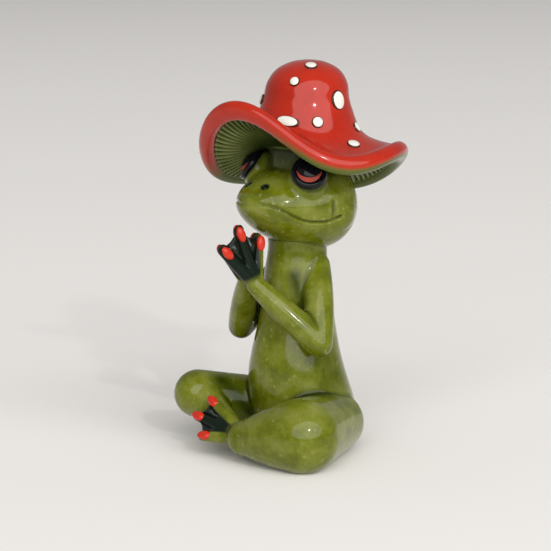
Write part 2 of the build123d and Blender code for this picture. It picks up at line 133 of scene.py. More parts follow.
# Grain of a fired glaze: the noise of its drifts, its flecks and its uneven surface
CLOUD = {"Scale": 130.0, "Detail": 4.0, "Roughness": 0.6}
SPECK = {"Scale": 620.0, "Detail": 2.0, "Roughness": 0.5}
RIPPLE = {"Scale": 110.0, "Detail": 2.0, "Roughness": 0.4}
# Noise values from which and up to which the glaze turns pale, deep or flecked
PALE_SPAN = (0.45, 0.75)
DEEP_SPAN = (0.48, 0.25)
FLECK_SPAN = (0.62, 0.72)
# Shine lost in a full crease, and the most that is lost anywhere
CREASE_DULLNESS = 0.7
MOST_DULLNESS = 0.85


def fired_mottle() -> bpy.types.NodeTree:
    """The cloudy colour of a fired glaze: drifts and small flecks, with painted shade mixed in at the
    creases and dark ink mixed in last.

    Returns:
        The shader group, built once.
    """
    name = "fired_mottle"
    if name in bpy.data.node_groups:
        return bpy.data.node_groups[name]
    group = bpy.data.node_groups.new(name, "ShaderNodeTree")
    for socket, kind in (
        ("Base", "NodeSocketColor"),
        ("Deep", "NodeSocketColor"),
        ("Pale", "NodeSocketColor"),
        ("Drift", "NodeSocketFloat"),
        ("Flecks", "NodeSocketFloat"),
        ("Crease", "NodeSocketFloat"),
        ("Ink", "NodeSocketColor"),
        ("Inked", "NodeSocketFloat"),
    ):
        group.interface.new_socket(socket, in_out="INPUT", socket_type=kind)
    group.interface.new_socket("Color", in_out="OUTPUT", socket_type="NodeSocketColor")
    group.interface.new_socket("Height", in_out="OUTPUT", socket_type="NodeSocketFloat")
    group.interface.new_socket("Shine", in_out="OUTPUT", socket_type="NodeSocketFloat")
    wires = Wiring(group)
    given = group.nodes.new("NodeGroupInput").outputs
    place = group.nodes.new("ShaderNodeTexCoord").outputs["Object"]
    cloud = wires.node("ShaderNodeTexNoise", Vector=place, **CLOUD)
    speck = wires.node("ShaderNodeTexNoise", Vector=place, **SPECK)
    ripple = wires.node("ShaderNodeTexNoise", Vector=place, **RIPPLE)
    drifted = wires.maths("MULTIPLY", wires.span(cloud.outputs["Fac"], *PALE_SPAN), given["Drift"])
    colour = wires.blend(drifted, given["Base"], given["Pale"])
    shaded = wires.maths("MULTIPLY", wires.span(cloud.outputs["Fac"], *DEEP_SPAN), given["Drift"])
    colour = wires.blend(shaded, colour, given["Deep"])
    flecked = wires.maths("MULTIPLY", wires.span(speck.outputs["Fac"], *FLECK_SPAN), given["Flecks"])
    colour = wires.blend(flecked, colour, given["Pale"])
    # Painted shade: the deep colour mixed in where the crease mask is high
    colour = wires.blend(given["Crease"], colour, given["Deep"])
    # Dark ink: real paint on hands, foot and eye edges, painted shade on the head's post
    colour = wires.blend(given["Inked"], colour, given["Ink"])
    out = group.nodes.new("NodeGroupOutput")
    wires.fill(out.inputs["Color"], colour)
    wires.fill(out.inputs["Height"], ripple.outputs["Fac"])
    creased = wires.maths("MULTIPLY", given["Crease"], CREASE_DULLNESS)
    dull = wires.maths("MAXIMUM", creased, given["Inked"])
    lost = wires.maths("MULTIPLY", dull, MOST_DULLNESS)
    wires.fill(out.inputs["Shine"], wires.maths("SUBTRACT", 1.0, lost))
    return group


@dataclass(frozen=True)
class Glaze:
    """A glossy fired finish: its colours, how cloudy it is, and where painted shade and dark ink darken it.
    """

    name: str
    slot: str
    base: Colour
    deep: Colour = BLACK
    pale: Colour = BLACK
    drift: float = 0.0
    flecks: float = 0.0
    roughness: float = 0.14
    unevenness: float = 0.0
    crease_attribute: str = ""
    ink: Colour = BLACK
    ink_attribute: str = ""
    gloss: float = 0.10
    coat: float = 0.45
    coat_roughness: float = 0.09

    def material(self) -> bpy.types.Material:
        """The finish as a material, made once.

        Returns:
            The material of this finish.
        """
        if self.name in bpy.data.materials:
            return bpy.data.materials[self.name]
        made = bpy.data.materials.new(self.name)
        made.use_nodes = True
        wires = Wiring(made.node_tree)
        shader = made.node_tree.nodes["Principled BSDF"]
        shader.inputs["Roughness"].default_value = self.roughness
        shader.inputs["Specular IOR Level"].default_value = self.gloss
        shader.inputs["Coat Weight"].default_value = self.coat
        shader.inputs["Coat Roughness"].default_value = self.coat_roughness
        if self.drift == 0.0 and not self.crease_attribute:
            shader.inputs["Base Color"].default_value = opaque(self.base)
            return made
        mottle = made.node_tree.nodes.new("ShaderNodeGroup")
        mottle.node_tree = fired_mottle()
        for socket, colour in (("Base", self.base), ("Deep", self.deep), ("Pale", self.pale)):
            mottle.inputs[socket].default_value = opaque(colour)
        mottle.inputs["Drift"].default_value = self.drift
        mottle.inputs["Flecks"].default_value = self.flecks
        mottle.inputs["Ink"].default_value = opaque(self.ink)
        # Vertex masks: painted shade in creases and hollows, and ink that also holds painted shade on the
        # head's post
        for socket, attribute in (("Crease", self.crease_attribute), ("Inked", self.ink_attribute)):
            if attribute:
                reader = made.node_tree.nodes.new("ShaderNodeAttribute")
                reader.attribute_name = attribute
                wires.fill(mottle.inputs[socket], reader.outputs["Fac"])
        wires.fill(shader.inputs["Base Color"], mottle.outputs["Color"])
        shine = wires.maths("MULTIPLY", mottle.outputs["Shine"], self.coat)
        wires.fill(shader.inputs["Coat Weight"], shine)
        if self.unevenness > 0.0:
            bump = wires.node("ShaderNodeBump", Height=mottle.outputs["Height"], Distance=MM)
            bump.inputs["Strength"].default_value = self.unevenness
            wires.fill(shader.inputs["Normal"], bump.outputs["Normal"])
        return made


# Vertex attributes: painted shade in creases and hollows, and dark ink that also holds painted shade on the
# head's post
CREASE_SHADE = "crease"
INK_AND_SHADE = "ink"
OLIVE = Glaze(
    "olive_glaze",
    "green_glaze",
    base=(0.120, 0.139, 0.003),
    # Deep olive: darker drifts, and the painted shade in creases and hollows
    deep=(0.016, 0.026, 0.0015),
    pale=(0.250, 0.262, 0.066),
    drift=0.55,
    flecks=0.50,
    unevenness=0.10,
    crease_attribute=CREASE_SHADE,
    # Near-black ink: paint on the hands, foot and eye edges, and painted shade on the head's post
    ink=(0.006, 0.012, 0.007),
    ink_attribute=INK_AND_SHADE,
)
GILL_OLIVE = Glaze(
    "gill_glaze",
    "green_glaze",
    base=(0.230, 0.270, 0.070),
    # Deep gill olive: darker drifts, and the painted shade in the gills' grooves and inner recess
    deep=(0.016, 0.026, 0.004),
    pale=(0.420, 0.440, 0.220),
    drift=0.40,
    flecks=0.20,
    roughness=0.25,
    crease_attribute=CREASE_SHADE,
)
VERMILION = Glaze(
    "vermilion_glaze",
    "red_glaze",
    base=(0.390, 0.017, 0.005),
    deep=(0.270, 0.010, 0.003),
    pale=(0.460, 0.030, 0.009),
    drift=0.45,
    unevenness=0.08,
    crease_attribute=CREASE_SHADE,
    ink=(0.100, 0.122, 0.026),
    ink_attribute=INK_AND_SHADE,
)
SPOT_WHITE = Glaze("spot_white", "white_spot", base=(0.72, 0.71, 0.64))
SPOT_EDGE = Glaze("spot_edge", "white_spot", base=(0.050, 0.012, 0.006))
WEB_DARK = Glaze("web_dark", "dark_web", base=(0.006, 0.012, 0.008))
PAD_RED = Glaze("pad_red", "red_pad", base=(0.500, 0.024, 0.008))
IRIS_RED = Glaze("iris_red", "red_iris", base=(0.380, 0.050, 0.030), roughness=0.1)
EYE_BLACK = Glaze("eye_black", "black_glaze", base=(0.004, 0.004, 0.006), coat=0.25)


def settle(shape: bmesh.types.BMesh, name: str, glazes: list[Glaze], nodes: list[str]) -> bpy.types.Object:
    """Turns a finished shape into a piece of the figurine.

    Args:
        shape: the closed shape, freed here.
        name: the piece's name.
        glazes: its finishes, in the order of its faces' material numbers.
        nodes: the solids that it stands for.

    Returns:
        The piece's object.
    """
    mesh = bpy.data.meshes.new(name)
    shape.to_mesh(mesh)
    shape.free()
    return dress(mesh, name, glazes, nodes)


def dress(mesh: bpy.types.Mesh, name: str, glazes: list[Glaze], nodes: list[str]) -> bpy.types.Object:
    """Gives a mesh its finishes and its place among the pieces.

    Args:
        mesh: the piece's mesh, in place.
        name: the piece's name.
        glazes: its finishes.
        nodes: the solids that it stands for.

    Returns:
        The piece's object.
    """
    for glaze in glazes:
        mesh.materials.append(glaze.material())
    mesh.shade_smooth()
    piece = bpy.data.objects.new(name, mesh)
    bpy.context.scene.collection.objects.link(piece)
    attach(piece, "root")
    if nodes:
        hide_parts(*nodes)
    LOG.info("%s: %d faces", name, len(mesh.polygons))
    return piece


def write_float(mesh: bpy.types.Mesh, name: str, values: np.ndarray) -> None:
    """Keeps one value per vertex as an attribute."""
    attribute = mesh.attributes.new(name, "FLOAT", "POINT")
    attribute.data.foreach_set("value", values.astype(np.float32))


def crease_depth(mesh: bpy.types.Mesh, reach: int, full: float) -> np.ndarray:
    """How deep each vertex lies in a crease.

    Args:
        mesh: an even mesh.
        reach: how many rings of neighbours are averaged.
        full: the depth in metres that counts as one.

    Returns:
        A value from 0 to 1 for each vertex.
    """
    count = len(mesh.vertices)
    places = vertex_places(mesh)
    normals = vertex_places(mesh, "normal")
    edges = np.empty(len(mesh.edges) * 2, dtype=np.int64)
    mesh.edges.foreach_get("vertices", edges)
    ends = np.concatenate([edges[0::2], edges[1::2]])
    others = np.concatenate([edges[1::2], edges[0::2]])
    share = np.bincount(ends, minlength=count)
    soft = places.copy()
    for _ in range(reach):
        soft = np.stack([np.bincount(ends, soft[others, k], count) / share for k in range(3)], axis=1)
    depth = ((soft - places) * normals).sum(axis=1)
    return np.clip(depth / full, 0.0, 1.0)


def vertex_places(mesh: bpy.types.Mesh, kind: str = "co") -> np.ndarray:
    """The mesh's vertices, or their normals, as rows of X, Y and Z."""
    places = np.empty(len(mesh.vertices) * 3)
    mesh.vertices.foreach_get(kind, places)
    return places.reshape(-1, 3)


def near_nodes(mesh: bpy.types.Mesh, nodes: list[str], full: float, none: float) -> np.ndarray:
    """How near each vertex lies to some solids.

    Args:
        mesh: the mesh whose vertices are measured.
        nodes: the solids' names.
        full: the distance in metres up to which the value is one.
        none: the distance from which it is zero.

    Returns:
        A value from 0 to 1 for each vertex.
    """
    shape = joined(nodes)
    tree = BVHTree.FromBMesh(shape)
    shape.free()
    reach = [tree.find_nearest(vert.co)[3] for vert in mesh.vertices]
    return ramp(np.array(reach), none, full)


def joined(nodes: list[str]) -> bmesh.types.BMesh:
    """The solids' faces together in one shape, welded along their edges."""
    shape = bmesh.new()
    for node in nodes:
        shape.from_mesh(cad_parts[node].data)
    bmesh.ops.remove_doubles(shape, verts=shape.verts, dist=0.001 * MM)
    return shape


def ramp(values: np.ndarray, low: float, high: float) -> np.ndarray:
    """Values stretched so that low gives zero and high gives one."""
    return np.clip((values - low) / (high - low), 0.0, 1.0)


@dataclass(frozen=True)
class PaintedFan:
    """Dark paint spread like a fan over a webbed hand or foot."""

    node: str
    root: Vector
    heading: Vector
    across: Vector
    start: tuple[float, float]
    low: tuple[float, float]
    high: tuple[float, float]

    def ink(self, places: np.ndarray) -> np.ndarray:
        """How dark each place is, past the start and between the fan's two edges.

        Args:
            places: rows of X, Y and Z.

        Returns:
            A value from 0 to 1 for each place.
        """
        reach = places - np.array(self.root)
        along = reach @ np.array(self.heading)
        turn = np.degrees(np.arctan2(reach @ np.array(self.across), along))
        return ramp(along, *self.start) * ramp(turn, *self.low) * ramp(turn, *self.high)


# Hands: where the wrist lies, how far a hand leans forward and tilts to the other one, in degrees
WRIST_OUT = 3.4 * MM
WRIST_RISE = 54.5 * MM
HAND_LEAN = 17.0
HAND_TILT = 9.0


def hand_fan(side: Side, forward: float) -> PaintedFan:
    """The fan on a hand whose wrist lies so far forward: all but the outside of its last finger."""
    lean = math.radians(HAND_LEAN)
    tilt = math.radians(HAND_TILT)
    upright = Vector((0.0, -math.sin(lean), math.cos(lean)))
    return PaintedFan(
        f"{side.word}_hand",
        root=Vector((side.value * WRIST_OUT, -forward, WRIST_RISE)),
        heading=upright * math.cos(tilt) - Vector((side.value * math.sin(tilt), 0.0, 0.0)),
        across=Vector((0.0, -math.cos(lean), -math.sin(lean))),
        start=(1.8 * MM, 3.8 * MM),
        low=(-30.0, -22.0),
        high=(90.0, 80.0),
    )


def foot_fan() -> PaintedFan:
    """The fan on the left foot, from under its first toe to before its last one."""
    return PaintedFan(
        "left_foot",
        root=Vector((4.6, -28.4, 8.0)) * MM,
        heading=Vector((-0.971, -0.145, 0.188)),
        across=Vector((-0.066, -0.597, -0.800)),
        start=(4.5 * MM, 6.5 * MM),
        low=(-17.0, -13.0),
        high=(15.0, 12.0),
    )


@dataclass
class Skin:
    """A moulded skin drawn over one or more solids, with its creases softened."""

    name: str
    nodes: list[str]
    glaze: Glaze
    voxel: float = 0.46 * MM
    softening: int = 5
    broad_softening: int = 0
    smooth_factor: float = 0.5
    fine_nodes: list[str] = field(default_factory=list)
    fine_reach: tuple[float, float] = (0.8 * MM, 3.0 * MM)
    broad_nodes: list[str] = field(default_factory=list)
    broad_reach: tuple[float, float] = (1.6 * MM, 4.5 * MM)
    edged_nodes: list[str] = field(default_factory=list)
    edge_reach: tuple[float, float] = (0.4 * MM, 0.9 * MM)
    fans: list[PaintedFan] = field(default_factory=list)
    fan_reach: tuple[float, float] = (0.5 * MM, 1.0 * MM)
    dark_places: list[tuple[Vector, float]] = field(default_factory=list)
    dark_core: float = 0.7
    # Hollows darkened with painted shade, fully within this share of their reach
    hollows: list[Hollow] = field(default_factory=list)
    hollow_core: float = 0.15
    # Painted shade in the creases: rings of neighbours averaged, and the depth in metres that darkens fully
    creases: tuple[tuple[int, float], ...] = ((14, 0.24 * MM), (90, 0.85 * MM))

    def evaluated(self, rough: bpy.types.Object) -> bpy.types.Mesh:
        """The mesh that an object's modifiers make; the object goes."""
        graph = bpy.context.evaluated_depsgraph_get()
        mesh = bpy.data.meshes.new_from_object(rough.evaluated_get(graph))
        form = rough.data
        bpy.data.objects.remove(rough)
        bpy.data.meshes.remove(form)
        return mesh

    def staged(self, mesh: bpy.types.Mesh) -> bpy.types.Object:
        """An object for a mesh that still gets modifiers."""
        rough = bpy.data.objects.new(self.name + "_rough", mesh)
        bpy.context.scene.collection.objects.link(rough)
        return rough

    def cast(self) -> bpy.types.Mesh:
        """The solids drawn over with one even skin."""
        shape = joined(self.nodes)
        mesh = bpy.data.meshes.new(self.name + "_form")
        shape.to_mesh(mesh)
        shape.free()
        rough = self.staged(mesh)
        remesh = rough.modifiers.new("voxels", "REMESH")
        remesh.mode = "VOXEL"
        remesh.voxel_size = self.voxel
        return self.evaluated(rough)

    def softened(self, mesh: bpy.types.Mesh) -> bpy.types.Mesh:
        """The skin smoothed all over, and more so away from its fine parts."""
        broad = np.ones(len(mesh.vertices))
        if self.fine_nodes:
            broad = 1.0 - near_nodes(mesh, self.fine_nodes, *self.fine_reach)
        if self.broad_nodes:
            broad = near_nodes(mesh, self.broad_nodes, *self.broad_reach)
        rough = self.staged(mesh)
        group = rough.vertex_groups.new(name="broad")
        for index, weight in enumerate(broad):
            group.add([index], float(weight), "REPLACE")
        for name, iterations in (("soften", self.softening), ("broaden", self.broad_softening)):
            smooth = rough.modifiers.new(name, "SMOOTH")
            smooth.factor = self.smooth_factor
            smooth.iterations = iterations
            if name == "broaden":
                smooth.vertex_group = group.name
        return self.evaluated(rough)

    def ink(self, mesh: bpy.types.Mesh) -> np.ndarray:
        """How dark each vertex is painted: round edged solids, on the fans and at the dark places (on the
        head, painted shade on the post under the hat).
        """
        ink_and_shade = np.zeros(len(mesh.vertices))
        places = vertex_places(mesh)
        if self.edged_nodes:
            ink_and_shade = near_nodes(mesh, self.edged_nodes, *self.edge_reach)
        for fan in self.fans:
            within = near_nodes(mesh, [fan.node], *self.fan_reach)
            ink_and_shade = np.maximum(ink_and_shade, within * fan.ink(places))
        for middle, reach in self.dark_places:
            away = np.linalg.norm(places - np.array(middle), axis=1)
            ink_and_shade = np.maximum(ink_and_shade, ramp(away, reach, self.dark_core * reach))
        return ink_and_shade

    def shade(self, mesh: bpy.types.Mesh) -> np.ndarray:
        """How much painted shade each vertex gets: in the creases and in the hollows."""
        painted_shade = np.max([crease_depth(mesh, reach, full) for reach, full in self.creases], axis=0)
        places = vertex_places(mesh)
        for start, end, reach, depth in self.hollows:
            line = np.array(end - start)
            along = np.clip((places - np.array(start)) @ line / (line @ line), 0.0, 1.0)
            nearest = np.array(start) + along[:, None] * line
            away = np.linalg.norm(places - nearest, axis=1)
            painted_shade = np.maximum(painted_shade, depth * ramp(away, reach, self.hollow_core * reach))
        return painted_shade

    def build(self) -> bpy.types.Object:
        """Draws the skin, softens it and dresses it.

        Returns:
            The skin's object.
        """
        mesh = self.softened(self.cast())
        mesh.name = self.name
        mesh.materials.clear()
        # Painted shade from creases and hollows, then the dark ink, which includes the painted shade at dark
        # places
        write_float(mesh, CREASE_SHADE, self.shade(mesh))
        write_float(mesh, INK_AND_SHADE, self.ink(mesh))
        return dress(mesh, self.name, [self.glaze], self.nodes)


@dataclass
class Inlay:
    """A small solid shown as it is, with its facets smoothed."""

    name: str
    nodes: list[str]
    glaze: Glaze

    def build(self) -> bpy.types.Object:
        """Copies the solids and dresses the copy.

        Returns:
            The inlay's object.
        """
        return settle(joined(self.nodes), self.name, [self.glaze], self.nodes)


@dataclass
class Eye:
    """An eyeball with its raised pupil and its dark rim."""

    side: Side
    radius: float = 5.0 * MM
    out: float = 11.7 * MM
    forward: float = 8.5 * MM
    rise: float = 87.8 * MM
    turn: float = 48.0
    lift: float = 35.0
    rim_share: float = 0.88
    rim_thickness: float = 1.05 * MM
    pupil_radius: float = 3.9 * MM
    pupil_lift: float = 16.0
    proud: float = 0.25 * MM
    iris_share: float = 0.4
    segments: int = 48
    ball_rings: int = 32
    pupil_rings: int = 48
    rim_segments: int = 20
    rim_steps: int = 72

    def seat(self, lift: float) -> Matrix:
        """The turn and place that set a shape made along +Z on the eye's axis."""
        turn = math.radians(self.turn) * self.side.value
        place = Vector((self.out * self.side.value, -self.forward, self.rise))
        tip = Matrix.Rotation(math.radians(90.0 - lift), 4, "X")
        return Matrix.Translation(place) @ Matrix.Rotation(turn, 4, "Z") @ tip

    def build(self) -> list[bpy.types.Object]:
        """Builds the eyeball, the pupil and the rim.

        Returns:
            The three pieces.
        """
        return [self.ball(), self.pupil(), self.rim()]

    def ball(self) -> bpy.types.Object:
        """The eyeball: a red iris in front, black round it."""
        word = self.side.word
        ball = bmesh.new()
        bmesh.ops.create_uvsphere(
            ball, u_segments=self.segments, v_segments=self.ball_rings, radius=self.radius
        )
        for face in ball.faces:
            middle = face.calc_center_median()
            face.material_index = 1 if middle.z < self.iris_share * self.radius else 0
        ball.transform(self.seat(self.lift))
        return settle(ball, f"{word}_eye_ball", [IRIS_RED, EYE_BLACK], [f"{word}_eyeball"])

    def pupil(self) -> bpy.types.Object:
        """The pupil: a cap of a slightly larger ball, turned up, closed below."""
        word = self.side.word
        radius = self.radius + self.proud
        dome = bmesh.new()
        bmesh.ops.create_uvsphere(
            dome, u_segments=self.segments, v_segments=self.pupil_rings, radius=radius
        )
        reach = math.sqrt(radius**2 - self.pupil_radius**2)
        bmesh.ops.bisect_plane(
            dome,
            geom=dome.verts[:] + dome.edges[:] + dome.faces[:],
            plane_co=(0.0, 0.0, reach),
            plane_no=(0.0, 0.0, 1.0),
            clear_inner=True,
        )
        bmesh.ops.edgeloop_fill(dome, edges=[edge for edge in dome.edges if edge.is_boundary])
        bmesh.ops.recalc_face_normals(dome, faces=dome.faces)
        dome.transform(self.seat(self.lift + self.pupil_lift))
        return settle(dome, f"{word}_eye_pupil", [EYE_BLACK], [f"{word}_pupil"])

    def rim(self) -> bpy.types.Object:
        """The rim: a dark ring on the eyeball, behind the iris."""
        word = self.side.word
        rim = bmesh.new()
        ring_radius = self.radius * self.rim_share
        height = math.sqrt(self.radius**2 - ring_radius**2)
        across = Matrix.Translation((ring_radius, 0.0, height)) @ Matrix.Rotation(math.pi / 2, 4, "X")
        bmesh.ops.create_circle(rim, segments=self.rim_segments, radius=self.rim_thickness, matrix=across)
        bmesh.ops.spin(
            rim,
            geom=rim.verts[:] + rim.edges[:],
            cent=(0.0, 0.0, 0.0),
            axis=(0.0, 0.0, 1.0),
            angle=math.tau,
            steps=self.rim_steps,
            use_merge=True,
        )
        bmesh.ops.recalc_face_normals(rim, faces=rim.faces)
        rim.transform(self.seat(self.lift))
        return settle(rim, f"{word}_eye_ring", [EYE_BLACK], [f"{word}_eye_rim"])


@dataclass
class Hat:
    """The mushroom hat: a wavy shell with a rolled lip, gills below and spots above."""

    radius: float = 32.45 * MM
    crown_height: float = 29.6 * MM
    level: float = 92.2 * MM
    lean: float = 2.0 * MM
    thickness: float = 5.6 * MM
    waves: tuple[float, ...] = (8.9 * MM, 6.2 * MM, 4.0 * MM, -2.9 * MM, 3.4 * MM, 0.8 * MM)
    droop: float = 2.7 * MM
    droop_turn: float = 137.0
    pinch: float = 3.7 * MM
    pinch_turn: float = 32.0
    nearness_power: int = 8
    segments: int = 200
    steps: int = 5
    gill_count: int = 84
    gill_depth: float = 0.85 * MM
    gill_sink: float = 0.2 * MM
    gill_swirl: float = 0.30
    gill_power: float = 1.4
    # Painted shade of the gills: how sharply the grooves darken, and the radius shares from dark inside to
    # lit
    gill_paint_power: float = 1.8
    gill_lit_shares: tuple[float, float] = (0.42, 0.72)
    points_per_gill: int = 8
    green_turn: float = 168.0
    green_spread: tuple[float, float] = (145.0, 122.0)
    green_facing: tuple[float, float] = (0.20, 0.50)
    green_inner_shares: tuple[float, float] = (0.50, 0.44)
    seat_radius: float = 11.0 * MM
    seat_rise_share: float = 0.54
    spot_radius: float = 2.0 * MM
    spot_proud: float = 0.55 * MM
    spot_fullness: float = 1.6
    spot_white_share: float = 0.80
    spot_segments: int = 40
    spot_rings: int = 32
    spot_step: float = 0.4 * MM
    top_radius_share: float = 0.06
    top_rise_share: float = 0.997
    crown_shares: tuple[Ring, ...] = (
        (0.167, 0.975, 0.00),
        (0.298, 0.900, 0.00),
        (0.382, 0.765, 0.00),
        (0.413, 0.590, 0.02),
        (0.453, 0.460, 0.06),
        (0.515, 0.300, 0.18),
        (0.593, 0.205, 0.36),
        (0.70, 0.140, 0.60),
        (0.80, 0.100, 0.78),
        (0.86, 0.088, 0.87),
    )
    lip_shares: tuple[Ring, ...] = (
        (0.92, 0.54, 0.96),
        (0.975, 0.36, 1.02),
        (1.00, 0.00, 1.05),
        (0.97, -0.36, 1.02),
        (0.92, -0.50, 0.97),
        (0.865, -0.36, 0.93),
    )
    recess_shares: tuple[Ring, ...] = (
        (0.850, -0.08, 0.92),
        (0.70, 0.14, 0.64),
        (0.52, 0.40, 0.36),
        (0.36, 0.50, 0.12),
    )
    spot_places: tuple[tuple[float, float, float, float], ...] = (
        (54.0, 0.215, 1.0, 1.0),
        (28.0, 0.365, 0.8, 0.8),
        (93.0, 0.410, 1.3, 1.6),
        (61.0, 0.475, 0.92, 0.92),
        (27.0, 0.490, 1.9, 0.9),
        (92.0, 0.655, 1.05, 1.05),
        (-42.0, 0.415, 0.9, 0.9),
        (118.0, 0.515, 0.9, 0.9),
        (-80.0, 0.62, 1.2, 1.2),
        (-110.0, 0.35, 1.1, 1.4),
        (175.0, 0.40, 1.2, 1.2),
        (-155.0, 0.60, 1.0, 1.0),
        (150.0, 0.68, 1.6, 1.1),
    )

    def nearness(self, turn: float, degrees: float) -> float:
        """How near a turn is to a place on the brim, from 0 on the far side to 1."""
        return ((1 + math.cos(turn - math.radians(degrees))) / 2) ** self.nearness_power

    def wave(self, turn: float) -> float:
        """How far the lip rises at a turn from the front towards the frog's left."""
        tilt, roll, saddle, twist, ripple, curl = self.waves
        return (
            tilt * math.cos(turn)
            + roll * math.sin(turn)
            + saddle * math.cos(2 * turn)
            + twist * math.sin(2 * turn)
            + ripple * math.cos(3 * turn)
            + curl * math.sin(3 * turn)
            - self.droop * self.nearness(turn, self.droop_turn)
        )

    def point(self, ring: Ring, turn: float) -> Vector:
        """A point of the hat, from a ring's radius, rise and share of the wave."""
        radius, rise, share = ring
        reach = radius - share * self.pinch * self.nearness(turn, self.pinch_turn)
        lean = self.lean * rise / self.crown_height
        height = self.level + rise + share * self.wave(turn)
        return Vector((reach * math.sin(turn), lean - reach * math.cos(turn), height))

    def upper_rings(self) -> list[Ring]:
        """The crown's and the lip's rings, from the top down."""
        crown = [(r * self.radius, h * self.crown_height, w) for r, h, w in self.crown_shares]
        return crown + [(r * self.radius, h * self.thickness, w) for r, h, w in self.lip_shares]

    def recess_rings(self) -> list[Ring]:
        """The rings of the recess under the brim, from the lip inwards."""
        rings = [(r * self.radius, h * self.thickness, w) for r, h, w in self.recess_shares]
        return rings + [(self.seat_radius, self.seat_rise_share * self.thickness, 0.0)]

    def eased(self, rings: list[Ring]) -> list[Ring]:
        """The same profile with more rings, along a smooth curve through the given ones."""
        places = np.array(rings)
        padded = np.vstack([2 * places[0] - places[1], places, 2 * places[-1] - places[-2]])
        eased = []
        for k in range(1, len(padded) - 2):
            a, b, c, d = padded[k - 1 : k + 3]
            for step in range(self.steps):
                t = step / self.steps
                square = (2 * a - 5 * b + 4 * c - d) * t**2
                cube = (3 * b - a - 3 * c + d) * t**3
                eased.append(tuple(b + 0.5 * ((c - a) * t + square + cube)))
        eased.append(tuple(places[-1]))
        return eased

    def turn_of(self, index: int, count: int) -> float:
        """The turn of one of a ring's points."""
        return math.tau * index / count

    def ringed(self, shape: bmesh.types.BMesh, rings: list, count: int, place: Callable) -> list:
        """Draws a skin ring by ring: a circle, pulled out again and again.

        Args:
            shape: the bmesh that gets the skin.
            rings: what each ring is, handed to place.
            count: points in a ring.
            place: gives a point from a ring and a turn.

        Returns:
            The first and the last ring's vertices.
        """
        verts = bmesh.ops.create_circle(shape, segments=count, radius=self.radius)["verts"]
        first = verts
        for number, ring in enumerate(rings):
            if number:
                found = [edge for vert in verts for edge in vert.link_edges if edge.other_vert(vert) in last]
                loop = list(dict.fromkeys(found))
                new = bmesh.ops.extrude_edge_only(shape, edges=loop)["geom"]
                fresh = {vert for vert in new if isinstance(vert, bmesh.types.BMVert)}
                verts = [self.partner(vert, fresh) for vert in verts]
            for k, vert in enumerate(verts):
                vert.co = place(ring, self.turn_of(k, count))
            last = set(verts)
        return [first, verts]

    def partner(self, vert: bmesh.types.BMVert, fresh: set) -> bmesh.types.BMVert:
        """The new vertex that was pulled out of an old one."""
        return next(edge.other_vert(vert) for edge in vert.link_edges if edge.other_vert(vert) in fresh)

    def build(self) -> list[bpy.types.Object]:
        """Builds the shell, the gills and the spots.

        Returns:
            The hat's pieces.
        """
        return [self.shell(), self.gills(), self.spots()]

    def shell(self) -> bpy.types.Object:
        """The red shell, closed over the crown and across the recess."""
        shape = bmesh.new()
        top = (self.top_radius_share * self.radius, self.top_rise_share * self.crown_height, 0.0)
        rings = self.eased([top, *self.upper_rings()]) + self.recess_rings()
        first, last = self.ringed(shape, rings, self.segments, self.point)
        for loop in (first, last):
            bmesh.ops.contextual_create(shape, geom=loop)
        bmesh.ops.triangulate(shape, faces=[face for face in shape.faces if len(face.verts) > 4])
        bmesh.ops.recalc_face_normals(shape, faces=shape.faces)
        piece = settle(shape, "hat_shell_skin", [VERMILION], ["hat_shell"])
        write_float(piece.data, CREASE_SHADE, np.zeros(len(piece.data.vertices)))
        write_float(piece.data, INK_AND_SHADE, self.underside(piece.data))
        return piece

    def underside(self, mesh: bpy.types.Mesh) -> np.ndarray:
        """How green the shell is: under its lip at the back and sides, and round its seat."""
        places = vertex_places(mesh)
        below = ramp(-vertex_places(mesh, "normal")[:, 2], *self.green_facing)
        turns = np.degrees(np.arctan2(places[:, 0], -places[:, 1]))
        away = np.abs((turns - self.green_turn + 180.0) % 360.0 - 180.0)
        red_share, green_share = self.green_inner_shares
        reach = np.hypot(places[:, 0], places[:, 1])
        inner = ramp(reach, red_share * self.radius, green_share * self.radius)
        return below * np.maximum(ramp(away, *self.green_spread), inner)

    def gill_point(self, ring: tuple, turn: float) -> Vector:
        """A point of the gilled underside, with its ridge."""
        radius, rise, share, ridge = ring
        swirled = turn + self.gill_swirl * (1.0 - radius / self.radius)
        fold = (0.5 + 0.5 * math.cos(self.gill_count * swirled)) ** self.gill_power
        drop = ridge * (self.gill_sink + self.gill_depth * fold)
        return self.point((radius, rise - drop, share), turn)

    def gills(self) -> bpy.types.Object:
        """The gills: a ring of ridges hung in the recess, closed against the shell."""
        shape = bmesh.new()
        profile = self.eased(self.recess_rings())
        under = [(r, h, w, 1.0) for r, h, w in profile]
        over = [(r, h + self.gill_sink, w, 0.0) for r, h, w in reversed(profile)]
        self.ringed(shape, under + over, self.gill_count * self.points_per_gill, self.gill_point)
        edges = [edge for edge in shape.edges if edge.is_boundary]
        bmesh.ops.bridge_loops(shape, edges=edges)
        bmesh.ops.recalc_face_normals(shape, faces=shape.faces)
        piece = settle(shape, "hat_gill_ridges", [GILL_OLIVE], [])
        # Painted shade: the grooves between ridges dark, the recess darker towards the head, the ridges lit
        # towards the lip
        places = vertex_places(piece.data)
        reach = np.hypot(places[:, 0], places[:, 1])
        turns = np.arctan2(places[:, 0], -places[:, 1]) + self.gill_swirl * (1.0 - reach / self.radius)
        folds = (0.5 + 0.5 * np.cos(self.gill_count * turns)) ** self.gill_paint_power
        dark_share, lit_share = self.gill_lit_shares
        lit = ramp(reach, dark_share * self.radius, lit_share * self.radius)
        write_float(piece.data, CREASE_SHADE, 1.0 - folds * lit)
        return piece

